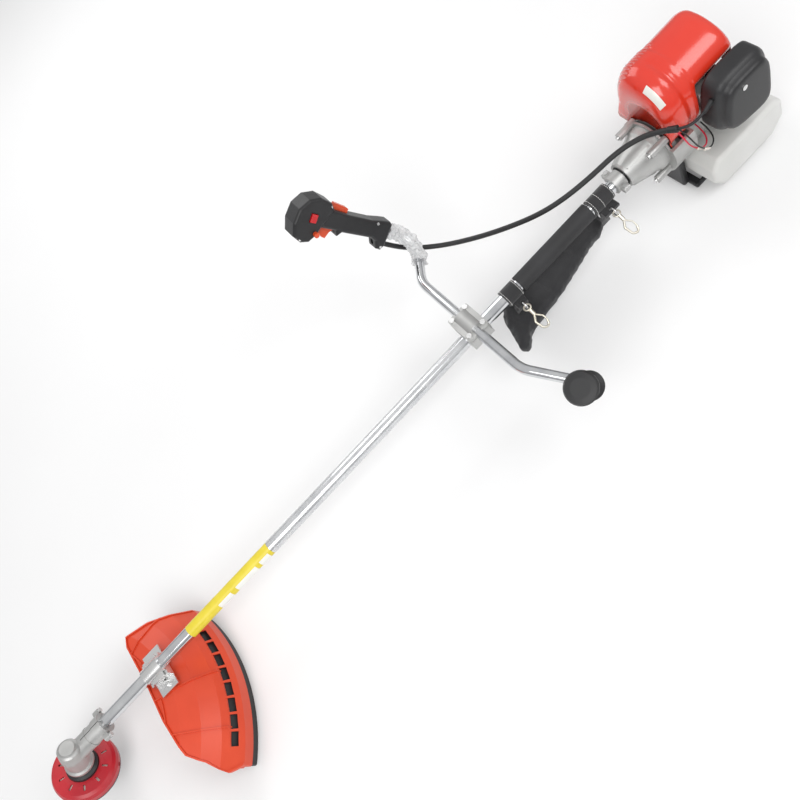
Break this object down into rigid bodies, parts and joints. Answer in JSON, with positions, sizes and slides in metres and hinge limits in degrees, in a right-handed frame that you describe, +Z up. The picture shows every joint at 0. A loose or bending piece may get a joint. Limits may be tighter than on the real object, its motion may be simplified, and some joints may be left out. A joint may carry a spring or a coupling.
{
  "type": "brush cutter",
  "caption": "Petrol brush cutter: engine, straight drive tube, two-handed bar, guard and angled gear head with a line head",
  "frame": {"origin": "on the floor, under the middle of the engine stand", "axes": "+X from the cutting head to the engine along the tube, -Y to the operator's left, +Z up"},
  "size_m": [1.8868, 0.6253, 0.4108],
  "materials": {
    "chrome_tube": "bright plated tube",
    "nylon": "plain nylon",
    "steel": "machined steel",
    "cast_alloy": "die cast aluminium, satin",
    "black_steel": "black paint",
    "head_plastic": "red moulded nylon",
    "orange_plastic": "orange red moulded plastic",
    "orange_gloss": "glossy orange red",
    "black_plastic": "black moulded plastic",
    "zinc_steel": "zinc plated",
    "label": "yellow film label",
    "clear_film": "clear wrinkled film",
    "foam": "black foam rubber",
    "black_rubber": "black rubber",
    "brass_plate": "plated hook",
    "nylon_fabric": "black woven nylon",
    "red_plastic": "red rocker",
    "lead_red": "red insulated wire",
    "tank_plastic": "milky translucent polyethylene"
  },
  "bodies": {
    "frame": {"main_tube": "chrome_tube", "tube_bushings": "nylon", "pinion_bearings": "steel", "gear_case": "cast_alloy", "output_bearings": "steel", "guard": "orange_plastic", "guard_skirt": "black_plastic", "guard_bracket": "zinc_steel", "tube_label": "label", "tube_film": "clear_film", "foam_sleeve": "foam", "harness_bands": "black_rubber", "harness_rings": "zinc_steel", "harness_pad": "nylon_fabric", "handlebar": "chrome_tube", "bracket_base": "cast_alloy", "bracket_cap": "cast_alloy", "left_grip": "black_rubber", "bar_film": "clear_film", "throttle_shell_left": "black_plastic", "throttle_shell_right": "black_plastic", "throttle_conduit": "black_rubber", "throttle_cable": "black_rubber", "engine_leads": "lead_red", "clutch_housing": "cast_alloy", "tube_collar": "cast_alloy", "frame_screws": "zinc_steel", "crankcase": "cast_alloy", "cylinder": "cast_alloy", "spark_plug": "black_rubber", "engine_cover": "orange_gloss", "starter_housing": "black_plastic", "muffler": "steel", "carburettor": "cast_alloy", "air_filter_cover": "black_plastic", "fuel_tank": "tank_plastic", "tank_stand": "black_plastic"},
    "drive_train": {"drive_shaft": "steel", "clutch_drum": "steel", "bevel_pinion": "steel"},
    "cutter": {"output_gear": "steel", "output_shaft": "steel", "shaft_cup": "black_steel", "line_head_cover": "head_plastic", "line_spool": "nylon", "line_head_base": "black_plastic", "bump_knob": "black_plastic"},
    "crank": {"crankshaft": "steel", "flywheel": "cast_alloy", "clutch_shoes": "steel"},
    "piston": {"piston": "cast_alloy"},
    "trigger": {"throttle_trigger": "orange_plastic"},
    "lock_lever": {"throttle_lock": "orange_plastic"},
    "rocker": {"stop_switch": "red_plastic"},
    "button": {"start_button": "orange_plastic"},
    "choke": {"choke_lever": "black_plastic"},
    "pull_handle": {"starter_handle": "black_plastic"},
    "tank_cap": {"fuel_cap": "black_plastic"},
    "hook_front": {"snap_hook_front": "brass_plate"},
    "hook_rear": {"snap_hook_rear": "brass_plate"}
  },
  "joints": [
    {"name": "drive_spin", "type": "hinge", "parent": "frame", "child": "drive_train", "pos_m": [-0.9, 0, 0.15], "axis": [1, 0, 0], "continuous": true},
    {"name": "cutter_spin", "type": "hinge", "parent": "frame", "child": "cutter", "pos_m": [-1.675, 0, 0.15], "axis": [-0.5, 0, -0.866], "continuous": true},
    {"name": "crank_spin", "type": "hinge", "parent": "frame", "child": "crank", "pos_m": [-0.05, 0, 0.15], "axis": [1, 0, 0], "continuous": true},
    {"name": "piston_slide", "type": "slide", "parent": "frame", "child": "piston", "axis": [0, 0, 1], "range_m": [-0.014, 0.014]},
    {"name": "trigger_pull", "type": "hinge", "parent": "frame", "child": "trigger", "pos_m": [-0.62423, 0.28208, 0.35649], "axis": [-0.0001, -0.9864, 0.1643], "range_deg": [0, 9], "stiffness_Nm_per_rad": 0.3},
    {"name": "lock_press", "type": "hinge", "parent": "frame", "child": "lock_lever", "pos_m": [-0.58904, 0.28143, 0.35261], "axis": [0.0001, 0.9864, -0.1643], "range_deg": [0, 8], "stiffness_Nm_per_rad": 0.2},
    {"name": "stop_rock", "type": "hinge", "parent": "frame", "child": "rocker", "pos_m": [-0.61757, 0.26604, 0.37883], "axis": [-0.4703, 0.1451, 0.8705], "range_deg": [-8, 8]},
    {"name": "start_press", "type": "slide", "parent": "frame", "child": "button", "axis": [0.0001, 0.9864, -0.1643], "range_m": [0, 0.003], "stiffness_N_per_m": 200},
    {"name": "choke_turn", "type": "hinge", "parent": "frame", "child": "choke", "pos_m": [0.0885, -0.068, 0.199], "axis": [1, 0, 0], "range_deg": [-40, 40]},
    {"name": "starter_pull", "type": "slide", "parent": "frame", "child": "pull_handle", "axis": [0, 1, 0], "range_m": [0, 0.05], "stiffness_N_per_m": 60},
    {"name": "cap_turn", "type": "hinge", "parent": "frame", "child": "tank_cap", "pos_m": [0.07, 0.06, 0.062], "axis": [0, 1, 0], "range_deg": [0, 270]},
    {"name": "front_hook_swing", "type": "hinge", "parent": "frame", "child": "hook_front", "pos_m": [-0.469, -0.0425, 0.1395], "axis": [-1, 0, 0], "range_deg": [0, 28]},
    {"name": "rear_hook_swing", "type": "hinge", "parent": "frame", "child": "hook_rear", "pos_m": [-0.239, -0.0425, 0.1395], "axis": [-1, 0, 0], "range_deg": [0, 28]}
  ],
  "couplings": [
    {"joint": "cutter_spin", "follows": "drive_spin", "ratio": 0.75}
  ]
}
